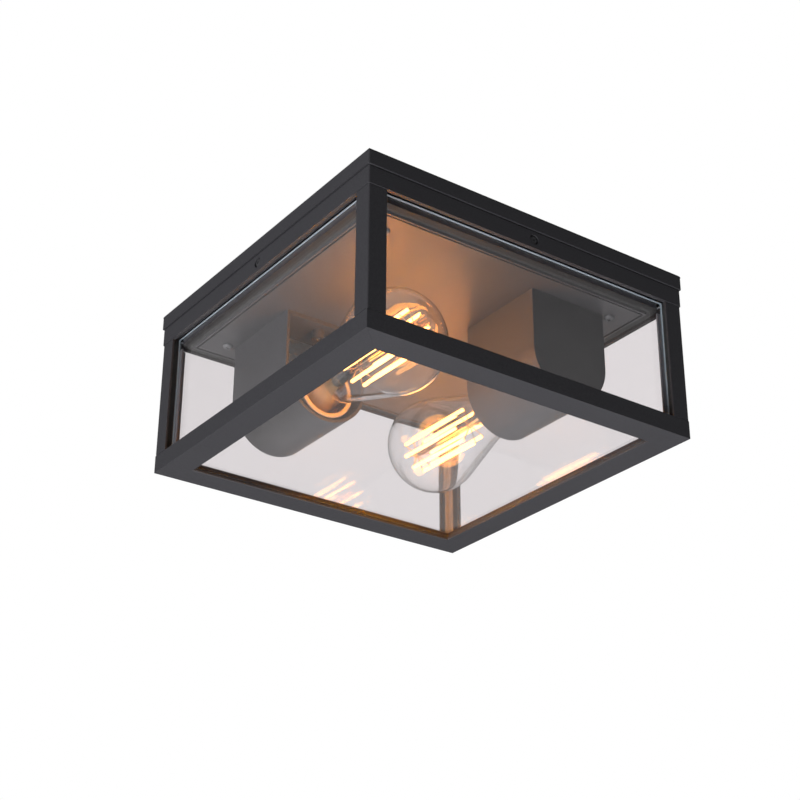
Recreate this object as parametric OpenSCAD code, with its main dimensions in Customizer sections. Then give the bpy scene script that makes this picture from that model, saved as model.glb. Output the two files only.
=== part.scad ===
// Square porch ceiling lantern: a ceiling pan, a glazed cage hung under it, and two bulbs lying in cups.
// Millimetres. The origin is the centre of the ceiling face, +Z points up and the lantern hangs below.

/* [Ceiling pan] */
// How far the rim stands out past the cage
rim_out = 2; // [1:0.1:10]
// Height of the pan's rim
rim_h = 10.3; // [9:0.1:16]
// Plan radius of the pan's corners
pan_r = 3.4; // [2.5:0.1:8]
// Rounding of the rim's long edges
rim_edge = 1; // [0.4:0.1:1.4]
// Thickness of the pan's sheet
pan_t = 2; // [1.6:0.1:2.4]
// Distance of the gasket from the rim's outer face
gasket_inset = 6.2; // [3:0.1:12]
// Width of the gasket on the ceiling face
gasket_w = 6; // [4:0.5:10]
// Depth of the groove that the gasket fills
gasket_t = 1; // [0.6:0.1:1.2]
// Distance between the two fixing slots
slot_spacing = 120; // [90:1:140]
// Length of a fixing slot
slot_len = 14; // [8:0.5:20]
// Width of a fixing slot
slot_w = 5.5; // [4:0.1:7]
// Distance of the cable entry from the centre
entry_y = 38; // [30:1:50]
// Radius of the cable entry
entry_r = 4; // [3:0.1:5]
// Radius of the grommet's hole in the pan
grommet_r = 7; // [6.5:0.1:9]
// How far the grommet reaches below the roof
grommet_drop = 8; // [5:0.5:12]

/* [Skirt and cover plate] */
// Depth of the skirt below the ceiling
skirt_drop = 27.9; // [26:0.1:34]
// Thickness of the skirt's sheet
skirt_t = 1.6; // [1.2:0.1:2]
// Plan radius of the skirt's outer corners
skirt_r = 6; // [4.5:0.1:8]
// Gap between the skirt and the side panes
skirt_gap = 0.4; // [0.3:0.05:0.8]
// Width of the channel folded along the skirt's bottom edge
channel_w = 7.1; // [6:0.1:9]
// Depth of that channel
channel_d = 1.7; // [1:0.1:3]
// Gap around the cover plate
plate_gap = 0.5; // [0.3:0.05:0.8]
// Thickness of the cover plate
plate_t = 1.6; // [1.2:0.1:2.4]
// How far the cover plate stands below the skirt
plate_proud = 0.8; // [0.4:0.1:1.2]
// Distance of the cover plate's screws from its edges
plate_screw_inset = 13.2; // [9:0.1:15]
// Radius of the pillars that take the cover plate's screws
pillar_r = 4.5; // [3.5:0.1:6]

/* [Cage] */
// Width of the cage across its bottom frame
cage_w = 240; // [236:1:243]
// Shadow gap between the rim and the top rail
seam_gap = 1; // [0.6:0.1:2]
// Height of the top rail
rail_h = 11.5; // [10:0.1:15]
// Thickness of the top rail
rail_t = 5.4; // [4:0.1:5.6]
// Plan radius of the top rail's corners
rail_r = 2; // [1:0.1:4]
// Height of the windows between the rail and the bottom bars
window_h = 82; // [78:0.5:120]
// Height of a bottom bar
bar_h = 11.2; // [10.4:0.1:14]
// Width of a bottom bar, its lip included
bar_w = 18.4; // [17.5:0.1:24]
// Height of a bar's inner wall
bar_inner_h = 9.2; // [8:0.1:10]
// Width of the lip under the bottom pane
lip_w = 3.2; // [2.4:0.1:5]
// Thickness of that lip
lip_t = 1.8; // [1.2:0.1:2.4]
// Depth of the groove that the side panes stand in
groove_d = 5.4; // [3:0.1:6]
// Width of the cage's broken outer edges
edge_break = 0.4; // [0.2:0.05:0.6]

/* [Corner posts] */
// Set-back of the posts from the bars' outer faces
post_set = 0.5; // [0.3:0.1:1.2]
// Reach of a post's outer lips from the cage's corner
post_lip = 12.5; // [12:0.1:15]
// Thickness of a post's outer lips
post_lip_t = 1.5; // [1.2:0.1:2]
// How far a post's solid corner reaches past the panes' inner faces
post_past = 0.8; // [0.5:0.1:1.6]
// Reach of a post's inner lips from the cage's corner
post_inner = 13.3; // [12.6:0.1:16]
// Thickness of a post's inner lips
post_inner_t = 1.2; // [0.8:0.1:2]
// Rounding of a post's outer edge
post_edge = 1; // [0.5:0.1:2]

/* [Glass] */
// Thickness of the panes
pane_t = 3; // [2.5:0.1:4]
// Depth of a side pane's outer face behind the bar's
pane_inset = 5.8; // [5.7:0.1:6.2]
// Distance of a side pane's top edge below the top rail
pane_drop = 2.2; // [0.5:0.1:3]
// Clearance around a pane in its grooves
pane_fit = 0.4; // [0.2:0.05:0.5]
// Thickness of the seal under the bottom pane
bed_t = 0.8; // [0.5:0.1:1.2]
// Width of the glazing strips in the posts
strip_w = 2.3; // [1.5:0.1:2.6]

/* [Side screws] */
// Radius of a side screw's shank
side_screw_r = 1.5; // [1.3:0.05:2]
// Radius of a side screw's head
side_head_r = 2.9; // [2.6:0.1:3.5]
// Height of a side screw's head
side_head_h = 1.4; // [1:0.1:1.6]
// Depth of the counterbore that holds the head
side_sink = 1.7; // [1.6:0.1:2]

/* [Lamp cups] */
// Distance of each lamp's axis from the cage's outer face
lamp_inset = 67; // [64:0.5:70]
// Depth of the centre of a cup's round bottom below the ceiling
cup_centre_drop = 66.8; // [64:0.2:70]
// How far a lamp's axis lies below that centre
lamp_below = 6.2; // [4:0.1:7]
// Length of a cup
cup_len = 65; // [62:0.5:70]
// Gap between a lampholder's rim and the bottom of its cup
cup_gap = 1.05; // [0.5:0.05:3]
// Distance of a cup's back from the cage's outer face
cup_back_inset = 32.7; // [29:0.1:35]
// Wall of a cup
cup_t = 2; // [1.5:0.1:2.5]
// Radius of the hole that the leads pass through
lead_hole_r = 5; // [4:0.1:6]

/* [Lampholders] */
// Outer radius of a lampholder's rim
holder_rim_r = 19.75; // [18.5:0.05:20.5]
// Radius of a lampholder's body
holder_body_r = 18; // [17:0.1:18.4]
// Length of a lampholder
holder_len = 43; // [42:0.5:46]
// Length of its wide front part
holder_rim_len = 12; // [8:0.5:16]
// Inner radius of its front collar
holder_collar_r = 16.6; // [15.6:0.1:17]
// Depth of its front collar
holder_collar_d = 10.5; // [10.2:0.1:12]
// Inner radius of the screw sleeve
sleeve_r = 13.3; // [13.2:0.05:13.5]
// Wall of the screw sleeve
sleeve_t = 0.6; // [0.4:0.05:0.8]
// Width of the strap that carries a lampholder
strap_w = 32; // [30:0.5:36]
// Thickness of that strap
strap_t = 1.5; // [1:0.1:2]

/* [Bulbs] */
// Radius of a bulb's globe
globe_r = 32; // [30:0.5:33]
// Length of the glass from the tip to the cap
glass_len = 111.1; // [106:0.1:113]
// Length of the blunt dome at the tip
dome_len = 28.8; // [26:0.1:32]
// Distance from the tip to where the taper meets the neck
taper_len = 94; // [88:0.5:98]
// Radius of the neck
neck_r = 13.9; // [13:0.1:14.2]
// Wall of the glass
glass_t = 0.8; // [0.6:0.1:1.2]
// Radius of the screw cap
cap_r = 13; // [12.7:0.05:13.1]
// Length of the screw cap
cap_len = 24.5; // [23:0.1:25]
// Radius of the cap's collar
collar_r = 14.4; // [14.3:0.1:15]
// Number of filament rods
rod_count = 8; // [4:1:10]
// Radius of a filament rod
rod_r = 0.9; // [0.6:0.1:1.2]
// Length of a filament rod
rod_len = 56; // [40:1:60]
// Radius of the ring of rods
rod_ring_r = 10; // [8:0.5:12]
// Distance from the bulb's tip to the rods
rod_tip_gap = 13; // [12:0.5:18]

/* [Fasteners and wiring] */
// Shank radius of the machine screws inside
screw_r = 1.5; // [1.2:0.05:2]
// Head radius of the machine screws inside
screw_head_r = 3.4; // [3:0.1:4]
// Head height of the machine screws inside
screw_head_h = 2.2; // [1.6:0.1:2.6]
// Clearance of a screw in its hole
screw_fit = 0.1; // [0.05:0.01:0.3]
// Slack of a screw in a hole that it only passes through
screw_slack = 0.5; // [0.2:0.05:0.8]
// Radius of a lead
lead_r = 1.1; // [0.8:0.1:1.5]
// Distance between the poles of the terminal block
pole_pitch = 9; // [8:0.5:12]
// Length of the terminal block
block_len = 18; // [16:0.5:24]
// Height of the terminal block
block_h = 12; // [10:0.5:14]

/* [Hidden] */
$fn = 64;

// Overshoot of a cut past the face that it opens
over = 1;
// Quarter turns that carry the front side, or the front left corner, to the others
TURNS = [["front", 0], ["right", 90], ["back", 180], ["left", 270]];

cage_half = cage_w / 2;
pan_half = cage_half + rim_out;
rail_top = -(rim_h + seam_gap);
rail_bottom = rail_top - rail_h;
bar_top = rail_bottom - window_h;
cage_bottom = bar_top - bar_h;

// Clearances between neighbours
lip_clear = 1.2;
glass_clear = 0.1;
seat_clear = 0.2;
flange_clear = 0.3;

// Side panes, measured inwards from the bars' outer faces
pane_back_b = pane_inset + pane_t;
groove_b0 = pane_inset - pane_fit;
groove_b1 = pane_back_b + pane_fit;
groove_floor = bar_top - groove_d;
pane_top = rail_bottom - pane_drop;
post_core = pane_back_b + post_past;
pane_end_a = post_core + pane_fit;

// Bottom pane
rebate_b = bar_w - lip_w;
bed_floor = cage_bottom + lip_t;
bottom_pane_half = cage_half - rebate_b - seat_clear;

// Skirt and cover plate
skirt_half = cage_half - pane_back_b - skirt_gap;
skirt_bottom = -skirt_drop;
plate_hole_half = skirt_half - channel_w;
plate_half = plate_hole_half - plate_gap;
plate_bottom = skirt_bottom - plate_proud;
plate_top = plate_bottom + plate_t;
plate_screw_x = plate_half - plate_screw_inset;
// The posts' inner lips stop short of the skirt, and just clear the panes
inner_lip_top = skirt_bottom - lip_clear;
inner_lip_b = pane_back_b + glass_clear;

// Side screws run through the middle of the rail and pinch the skirt
side_screw_z = rail_top - rail_h / 2;
side_bore_r = side_screw_r + 0.05;
side_head_fit = 0.3;
pinch_gap = 0.1;

// The gasket and the screws that hold the cover plate
gasket_half = pan_half - gasket_inset;
plate_screw_len = 12;

// Lamps: each is drawn for the left side in its own frame, whose +Z runs from the mouth to the bulb's tip
lamp_x = cage_half - lamp_inset;
cup_r = holder_rim_r + lamp_below + cup_gap + cup_t;
cup_z = -cup_centre_drop;
lamp_z = cup_z - lamp_below;
cup_back_y = cage_half - cup_back_inset;
cup_mouth_y = cup_back_y - cup_len;
cup_roof = plate_bottom - cup_t;
collar_front = 4;
glass_end = -7.5;
tip_w = glass_end + glass_len;
cap_front = -holder_collar_d + 0.5;
cap_end = glass_end - cap_len;
tip_end = cap_end - 3.4;
contact_gap = 0.3;
well_floor = tip_end - contact_gap - 1.8;
well_r = sleeve_r + sleeve_t + 0.1;
holder_back_y = cup_mouth_y + holder_len;
cup_screw_front_y = cup_mouth_y + 9;
cup_screw_rear_y = holder_back_y - 8;
cup_boss_r = 4;
cup_boss_h = 6;
lead_y = holder_back_y + strap_t + lead_hole_r + 0.8;
holder_screw_x = 12;
holder_screw_depth = 4;
strap_flange = 15;
block_top = -pan_t;
block_bottom = block_top - block_h;
pole_z = block_top - block_h / 2;
pole_r = 3.4;
terminal_r = 1.9;
// How far in from the block's middle a lead's end stops
lead_in = 2;
earth_x = 32;
washer_t = 0.8;

pan_black = [0.16, 0.16, 0.17];
seal_black = [0.05, 0.05, 0.05];
glass_tint = [0.85, 0.92, 0.95, 0.35];
steel = [0.72, 0.73, 0.74];
brass = [0.80, 0.65, 0.35];
ceramic = [0.93, 0.91, 0.86];
copper_brown = [0.45, 0.22, 0.12];

// ---------- shared shapes ----------

module at_side(side) {
  for (turn = TURNS) if (turn[0] == side) rotate([0, 0, turn[1]]) children();
}

module at_all_sides() {
  for (turn = TURNS) rotate([0, 0, turn[1]]) children();
}

module at_left_and_right() {
  children();
  rotate([0, 0, 180]) children();
}

// A square in plan with rounded corners
module round_square(half, r) {
  square([2 * (half - r), 2 * half], center = true);
  square([2 * half, 2 * (half - r)], center = true);
  for (x = [-1, 1], y = [-1, 1]) translate([x * (half - r), y * (half - r)]) circle(r);
}

// A square ring in plan between two half widths, with rounded outer corners and sharp inner ones
module square_ring(half, r, inner) {
  difference() {
    round_square(half, r);
    square(2 * inner, center = true);
  }
}

// Extrudes a plan from one height up to another
module between(z0, z1) {
  translate([0, 0, z0]) linear_extrude(z1 - z0) children();
}

// The outer half of a slab's section, from its centre line at x = 0, with both edges rounded
module rounded_band(w, h, e) {
  translate([0, e]) square([w, h - 2 * e]);
  square([w - e, h]);
  for (z = [e, h - e]) translate([w - e, z]) circle(e);
}

// A square slab from z = 0 up, with rounded corners in plan and rounded long edges
module soft_slab(half, r, h, e) {
  run = half - r;
  linear_extrude(h) square(2 * run, center = true);
  at_all_sides() {
    translate([-run, -run, 0]) rotate([0, 0, 180]) rotate_extrude(angle = 90) rounded_band(r, h, e);
    translate([-run, -run, 0]) mirror([0, 1, 0]) rotate([90, 0, 90]) linear_extrude(2 * run)
      rounded_band(r, h, e);
  }
}

// A section drawn as [inwards from the side's outer face, height], run along the front side between mitres
module mitred_run() {
  intersection() {
    translate([-cage_half, -cage_half, 0]) rotate([90, 0, 90]) linear_extrude(cage_w) children();
    between(cage_bottom - over, over)
      polygon([[-cage_half, -cage_half], [cage_half, -cage_half], [0, 0]]);
  }
}

// Frame of the left lamp: origin on the axis in the cup's mouth, +Z towards the bulb's tip
module lamp_frame() {
  translate([-lamp_x, cup_mouth_y, lamp_z]) rotate([90, 0, 0]) children();
}

// A machine screw hanging head down, its head's seat at the origin and its shank going up
module pan_screw(len) {
  cylinder(r = screw_r, h = len);
  translate([0, 0, -screw_head_h]) cylinder(r = screw_head_r, h = screw_head_h);
}

// ---------- wiring: a tube swept along a smoothed list of points ----------

function along(a, b, c, d, t) = 0.5 * ((2 * b) + (c - a) * t + (2 * a - 5 * b + 4 * c - d) * t * t
  + (3 * b - a - 3 * c + d) * t * t * t);
function smooth(p, steps) = [
  for (i = [0 : len(p) - 2], s = [0 : steps - 1])
    along(p[max(i - 1, 0)], p[i], p[i + 1], p[min(i + 2, len(p) - 1)], s / steps),
  p[len(p) - 1]];
function unit(v) = v / norm(v);
function heading(p, i) = unit(p[min(i + 1, len(p) - 1)] - p[max(i - 1, 0)]);
// Each ring's side vector is the last one's, turned square to the new heading, so the tube never twists
function sides_of(p, i = 0, last = [0.31, 0.87, 0.38]) = i == len(p) ? [] :
  let (d = heading(p, i), s = unit(last - (last * d) * d)) concat([s], sides_of(p, i + 1, s));

module lead(route, r) {
  p = smooth(route, 4);
  s = sides_of(p);
  n = 8;
  rings = [for (i = [0 : len(p) - 1]) let (u = s[i], v = cross(heading(p, i), u))
    for (k = [0 : n - 1]) p[i] + r * (cos(360 * k / n) * u + sin(360 * k / n) * v)];
  walls = [for (i = [0 : len(p) - 2], k = [0 : n - 1]) let (a = i * n + k, b = i * n + (k + 1) % n)
    for (f = [[a, b + n, b], [a, a + n, b + n]]) f];
  first = [for (k = [0 : n - 1]) k];
  last = [for (k = [0 : n - 1]) (len(p) - 1) * n + n - 1 - k];
  polyhedron(rings, concat(walls, [first], [last]));
}

// ---------- ceiling pan and what it carries ----------

module ceiling_pan() {
  color(pan_black) difference() {
    union() {
      difference() {
        translate([0, 0, -rim_h]) soft_slab(pan_half, pan_r, rim_h, rim_edge);
        between(-rim_h + pan_t, -pan_t) round_square(pan_half - pan_t, max(pan_r - pan_t, 0.5));
        between(-rim_h - over, -rim_h + pan_t + over) square(2 * (skirt_half + flange_clear), center = true);
      }
      for (x = [-1, 1], y = [-1, 1]) translate([x * plate_screw_x, y * plate_screw_x, plate_top])
        cylinder(r = pillar_r, h = -plate_top - pan_t / 2);
    }
    between(-gasket_t, over) difference() {
      square(2 * gasket_half, center = true);
      square(2 * (gasket_half - gasket_w), center = true);
    }
    for (x = [-1, 1]) translate([x * slot_spacing / 2, 0, -pan_t - over]) fixing_slot();
    translate([0, entry_y, -pan_t - over]) cylinder(r = grommet_r, h = pan_t + 2 * over);
    translate([earth_x, 0, -pan_t - over]) cylinder(r = screw_r + screw_fit, h = pan_t + 2 * over);
    for (x = [-1, 1], y = [-1, 1]) translate([x * plate_screw_x, y * plate_screw_x, plate_top - over])
      cylinder(r = screw_r + screw_fit, h = plate_screw_len + over);
  }
}

module fixing_slot() {
  run = (slot_len - slot_w) / 2;
  translate([-run, -slot_w / 2, 0]) cube([2 * run, slot_w, pan_t + 2 * over]);
  for (x = [-run, run]) translate([x, 0, 0]) cylinder(d = slot_w, h = pan_t + 2 * over);
}

module ceiling_gasket() {
  color(seal_black) between(-gasket_t, 0) difference() {
    square(2 * gasket_half, center = true);
    square(2 * (gasket_half - gasket_w), center = true);
  }
}

module cable_grommet() {
  flange_r = grommet_r + 3;
  tail_r = entry_r + 1.5;
  color(seal_black) translate([0, entry_y, 0]) rotate_extrude() polygon([
    [entry_r, 0], [grommet_r, 0], [grommet_r, -pan_t], [flange_r, -pan_t], [flange_r, -pan_t - 1.5],
    [grommet_r, -pan_t - 2.5], [tail_r, -pan_t - grommet_drop], [entry_r, -pan_t - grommet_drop]]);
}

module inner_skirt() {
  web = skirt_bottom + channel_d;
  color(pan_black) {
    between(skirt_bottom, -pan_t) difference() {
      round_square(skirt_half, skirt_r);
      round_square(skirt_half - skirt_t, skirt_r - skirt_t);
    }
    between(web, web + skirt_t) difference() {
      round_square(skirt_half - skirt_t / 2, skirt_r - skirt_t / 2);
      square(2 * plate_hole_half, center = true);
    }
    between(skirt_bottom, web + skirt_t) square_ring(plate_hole_half + 1.2, 1.2, plate_hole_half);
  }
}

module cover_plate() {
  color(pan_black) difference() {
    between(plate_bottom, plate_top) square(2 * plate_half, center = true);
    for (x = [-1, 1], y = [-1, 1]) translate([x * plate_screw_x, y * plate_screw_x, plate_bottom - over])
      cylinder(r = screw_r + screw_slack, h = plate_t + 2 * over);
    at_left_and_right() {
      for (y = [cup_screw_front_y, cup_screw_rear_y]) translate([-lamp_x, y, plate_bottom - over])
        cylinder(r = screw_r + screw_slack, h = plate_t + 2 * over);
      translate([-lamp_x, lead_y, plate_bottom - over]) cylinder(r = lead_hole_r, h = plate_t + 2 * over);
    }
  }
}

module plate_screws() {
  color(steel) for (x = [-1, 1], y = [-1, 1])
    translate([x * plate_screw_x, y * plate_screw_x, plate_bottom]) pan_screw(plate_screw_len + plate_t - 1);
}

// ---------- lamp cups ----------

// Section of a cup across its length, flat sided with a half-round bottom
module cup_section(wall, roof) {
  translate([0, cup_z]) circle(cup_r - wall);
  translate([wall - cup_r, cup_z]) square([2 * (cup_r - wall), roof - cup_z]);
}

module cup_run(y0, y1) {
  translate([-lamp_x, y1, 0]) rotate([90, 0, 0]) linear_extrude(y1 - y0) children();
}

module lamp_cup() {
  color(pan_black) difference() {
    union() {
      difference() {
        cup_run(cup_mouth_y, cup_back_y) cup_section(0, plate_bottom);
        cup_run(cup_mouth_y - over, cup_back_y - cup_t) cup_section(cup_t, cup_roof);
      }
      translate([-lamp_x, cup_screw_front_y, cup_roof - cup_boss_h])
        cylinder(r = cup_boss_r, h = cup_boss_h);
    }
    translate([-lamp_x, cup_screw_front_y, cup_roof - cup_boss_h - over])
      cylinder(r = screw_r + screw_fit, h = cup_boss_h + cup_t + 2 * over);
    translate([-lamp_x, cup_screw_rear_y, cup_roof - over])
      cylinder(r = screw_r + screw_slack, h = cup_t + 2 * over);
    translate([-lamp_x, lead_y, cup_roof - over]) cylinder(r = lead_hole_r, h = cup_t + 2 * over);
  }
}

module cup_screws() {
  front_len = plate_t + cup_t + cup_boss_h;
  rear_len = plate_t + cup_t + strap_t;
  color(steel) at_left_and_right() {
    translate([-lamp_x, cup_screw_front_y, plate_top]) rotate([180, 0, 0]) pan_screw(front_len);
    translate([-lamp_x, cup_screw_rear_y, plate_top]) rotate([180, 0, 0]) pan_screw(rear_len);
  }
}

// ---------- lampholders ----------

module lampholder() {
  shoulder = 1.5;
  rim_round = 1;
  color(ceramic) lamp_frame() difference() {
    rotate_extrude() polygon([
      [0, -holder_len], [holder_body_r, -holder_len], [holder_body_r, -holder_rim_len - shoulder],
      [holder_rim_r, -holder_rim_len], [holder_rim_r, -rim_round], [holder_rim_r - rim_round, 0],
      [holder_collar_r, 0], [holder_collar_r, -holder_collar_d], [well_r, -holder_collar_d],
      [well_r, well_floor], [0, well_floor]]);
    for (x = [-1, 1]) translate([x * holder_screw_x, 0, -holder_len - over])
      cylinder(r = screw_r + screw_fit, h = holder_screw_depth + over);
    translate([0, 0, -holder_len - over]) cylinder(r = 2.1, h = holder_len);
  }
}

module holder_sleeve() {
  color(brass) lamp_frame() translate([0, 0, cap_end]) difference() {
    cylinder(r = sleeve_r + sleeve_t, h = -holder_collar_d - 0.1 - cap_end);
    translate([0, 0, -over]) cylinder(r = sleeve_r, h = cap_len + 2 * over);
  }
}

module holder_contact() {
  color(brass) lamp_frame() rotate_extrude() polygon([
    [0, -holder_len + 1], [2, -holder_len + 1], [2, well_floor], [5, well_floor], [5, well_floor + 0.6],
    [3, tip_end - contact_gap], [0, tip_end - contact_gap]]);
}

module holder_bracket() {
  color(steel) difference() {
    union() {
      translate([-lamp_x, holder_back_y + strap_t, lamp_z]) rotate([90, 0, 0]) linear_extrude(strap_t) {
        circle(strap_w / 2);
        translate([-strap_w / 2, 0]) square([strap_w, cup_roof - lamp_z]);
      }
      translate([-lamp_x - strap_w / 2, holder_back_y - strap_flange, cup_roof - strap_t])
        cube([strap_w, strap_flange + strap_t / 2, strap_t]);
    }
    translate([-lamp_x, cup_screw_rear_y, cup_roof - strap_t - over])
      cylinder(r = screw_r + screw_fit, h = strap_t + 2 * over);
    translate([-lamp_x, holder_back_y - over, lamp_z]) rotate([-90, 0, 0]) {
      cylinder(r = 6, h = strap_t + 2 * over);
      for (x = [-1, 1]) translate([x * holder_screw_x, 0, 0])
        cylinder(r = screw_r + screw_slack, h = strap_t + 2 * over);
    }
  }
}

module holder_screws() {
  color(steel) at_left_and_right() for (x = [-1, 1])
    translate([-lamp_x + x * holder_screw_x, holder_back_y + strap_t, lamp_z]) rotate([90, 0, 0])
      pan_screw(strap_t + holder_screw_depth - 0.5);
}

// ---------- wiring ----------

module terminal_block() {
  base_t = 3;
  width = 3 * pole_pitch;
  color(ceramic) difference() {
    union() {
      translate([-width / 2, -block_len / 2, block_top - base_t]) cube([width, block_len, base_t]);
      for (i = [-1 : 1]) translate([i * pole_pitch, 0, pole_z]) {
        rotate([90, 0, 0]) cylinder(r = pole_r, h = block_len, center = true);
        translate([-pole_r, -block_len / 2, 0]) cube([2 * pole_r, block_len, block_top - pole_z - 1]);
        for (y = [-1, 1]) translate([0, y * block_len / 4, block_bottom - pole_z])
          cylinder(r = pole_r, h = block_h / 2);
      }
    }
    for (i = [-1 : 1]) translate([i * pole_pitch, 0, pole_z]) {
      rotate([90, 0, 0]) cylinder(r = lead_r + 0.5, h = block_len + 2 * over, center = true);
      for (y = [-1, 1]) translate([0, y * block_len / 4, block_bottom - pole_z - over])
        cylinder(r = terminal_r + screw_fit, h = block_h / 2 + over);
    }
  }
}

module terminal_screws() {
  head = block_bottom + 1;
  color(steel) for (i = [-1 : 1], y = [-1, 1]) translate([i * pole_pitch, y * block_len / 4, head])
    cylinder(r = terminal_r, h = pole_z - lead_r - screw_fit - head);
}

module earth_screw() {
  color(brass) translate([earth_x, 0, -pan_t]) {
    translate([0, 0, -washer_t]) cylinder(r = screw_head_r + 1, h = washer_t);
    translate([0, 0, -washer_t - screw_head_h]) cylinder(r = screw_head_r, h = screw_head_h);
    cylinder(r = screw_r, h = pan_t - 0.2);
  }
}

// The two leads of the left lamp: out of the holder's back, up through the cup's roof, over to the block
module lamp_leads(poles) {
  exit_y = holder_back_y + 0.2;
  entry = block_len / 2;
  color(copper_brown) for (i = [0, 1]) {
    x = -lamp_x + 2.2 * (2 * i - 1);
    pole = poles[i] * pole_pitch;
    lead([[x, exit_y, lamp_z], [x, exit_y + 3.5, lamp_z + 0.5], [x, lead_y, lamp_z + 8],
      [x, lead_y, cup_roof - 8], [x, lead_y, plate_top + 3], [x + 3, lead_y - 3, pole_z - 1],
      [x + 12, lead_y - 14, pole_z],
      [pole - 14, entry + 20, pole_z], [pole, entry + 8, pole_z], [pole, entry + 2, pole_z],
      [pole, lead_in, pole_z]], lead_r);
  }
}

module earth_lead() {
  z = -pan_t - washer_t - screw_head_h - lead_r - seat_clear;
  entry = block_len / 2;
  color([0.35, 0.5, 0.15]) lead([[earth_x, 0, z], [earth_x - 3, 6, z], [earth_x - 12, 14, pole_z],
    [pole_pitch + 3, entry + 9, pole_z], [pole_pitch, entry + 5, pole_z], [pole_pitch, entry + 1, pole_z],
    [pole_pitch, lead_in, pole_z]], lead_r);
}

// ---------- bulbs ----------

// Outline of the glass as [radius, distance from the tip], set in by a wall. The taper leaves the globe
// along its tangent.
function glass_outline(wall) =
  let (
    r = globe_r - wall,
    n = neck_r - wall,
    d = taper_len - dome_len,
    reach = norm([d, n]),
    touch = atan2(n, d) + acos(r / reach))
  concat(
    [for (a = [0 : 7.5 : 90]) [r * sin(a), dome_len - (dome_len - wall) * cos(a)]],
    [for (k = [1 : 5]) let (a = 90 - (90 - touch) * k / 5) [r * sin(a), dome_len + r * cos(a)]],
    [[n, taper_len], [n, glass_len]]);

module bulb_glass() {
  outer = glass_outline(0);
  inner = glass_outline(glass_t);
  color(glass_tint) lamp_frame() translate([0, 0, tip_w]) mirror([0, 0, 1]) rotate_extrude()
    polygon(concat(outer, [for (i = [len(inner) - 1 : -1 : 0]) inner[i]]));
}

module bulb_cap() {
  color(brass) lamp_frame() rotate_extrude() polygon([
    [0, cap_end], [cap_r - 1, cap_end], [cap_r, cap_end + 1], [cap_r, cap_front], [collar_r, cap_front],
    [collar_r, glass_end], [0, glass_end]]);
}

module bulb_tip() {
  shell = 2.4;
  button_r = 4.6;
  lamp_frame() {
    color(seal_black) rotate_extrude() polygon([
      [0, cap_end - shell], [button_r + 1, cap_end - shell], [cap_r - 1.6, cap_end], [0, cap_end]]);
    color(steel) translate([0, 0, tip_end]) cylinder(r = button_r, h = cap_end - shell - tip_end);
  }
}

rod_far = tip_w - rod_tip_gap;
rod_near = rod_far - rod_len;
stem_r = 1.3;

module bulb_stem() {
  color(glass_tint) lamp_frame() rotate_extrude() polygon([
    [0, glass_end], [neck_r - glass_t - 0.1, glass_end], [6, glass_end + 8], [3.4, glass_end + 20],
    [stem_r, rod_near - 6], [stem_r, rod_far + 1], [0, rod_far + 2]]);
}

// The rods stand in a ring round the stem, each held at both ends by a wire that starts at the stem
module filaments() {
  wire_r = 0.35;
  color([1, 0.85, 0.5]) lamp_frame() for (i = [0.5 : rod_count]) rotate([0, 0, 360 * i / rod_count]) {
    translate([rod_ring_r, 0, rod_near]) cylinder(r = rod_r, h = rod_len, $fn = 24);
    for (w = [rod_near + wire_r, rod_far - wire_r]) translate([stem_r + 0.1, 0, w]) rotate([0, 90, 0])
      cylinder(r = wire_r, h = rod_ring_r - stem_r - 0.1, $fn = 16);
  }
}

// ---------- cage ----------

module top_rail() {
  color(pan_black) difference() {
    between(rail_bottom, rail_top) square_ring(cage_half, rail_r, cage_half - rail_t);
    at_all_sides() translate([0, -cage_half, side_screw_z]) rotate([-90, 0, 0]) {
      translate([0, 0, -over]) cylinder(r = side_head_r + side_head_fit, h = side_sink + over);
      cylinder(r = side_bore_r, h = rail_t + over);
    }
  }
}

module rail_seal() {
  inset = 1.8;
  width = 3;
  color(seal_black) between(rail_top, rail_top + seam_gap)
    square_ring(cage_half - inset, rail_r, cage_half - inset - width);
}

// Section of a corner post, with the cage's corner at the origin
module post_section() {
  difference() {
    union() {
      translate([post_set, post_set]) square([post_lip - post_set, post_lip_t]);
      translate([post_set, post_set]) square([post_lip_t, post_lip - post_set]);
      translate([post_set, post_set]) square(post_core - post_set);
    }
    translate([post_set, post_set]) difference() {
      square(post_edge);
      translate([post_edge, post_edge]) circle(post_edge);
    }
  }
}

module post_inner_section() {
  difference() {
    translate([inner_lip_b, inner_lip_b]) square(post_inner - inner_lip_b);
    translate([inner_lip_b + post_inner_t, inner_lip_b + post_inner_t]) square(post_inner);
  }
}

module post() {
  inner_foot = cage_bottom + bar_inner_h;
  foot_b = groove_b0 + seat_clear;
  color(pan_black) translate([-cage_half, -cage_half, 0]) {
    between(bar_top, rail_bottom) post_section();
    between(inner_foot, inner_lip_top) post_inner_section();
    between(inner_foot, bar_top) translate([foot_b, foot_b]) square(post_core - foot_b);
  }
}

module bar() {
  color(pan_black) mitred_run() translate([0, cage_bottom]) polygon([
    [edge_break, 0], [bar_w - edge_break, 0], [bar_w, edge_break], [bar_w, lip_t], [rebate_b, lip_t],
    [rebate_b, bar_inner_h], [groove_b1, bar_inner_h], [groove_b1, bar_h - groove_d],
    [groove_b0, bar_h - groove_d], [groove_b0, bar_h], [edge_break, bar_h], [0, bar_h - edge_break],
    [0, edge_break]]);
}

module side_pane() {
  color(glass_tint) translate([pane_end_a - cage_half, pane_inset - cage_half, groove_floor])
    cube([cage_w - 2 * pane_end_a, pane_t, pane_top - groove_floor]);
}

module pane_bottom() {
  color(glass_tint) between(bed_floor + bed_t, bed_floor + bed_t + pane_t)
    square(2 * bottom_pane_half, center = true);
}

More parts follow.
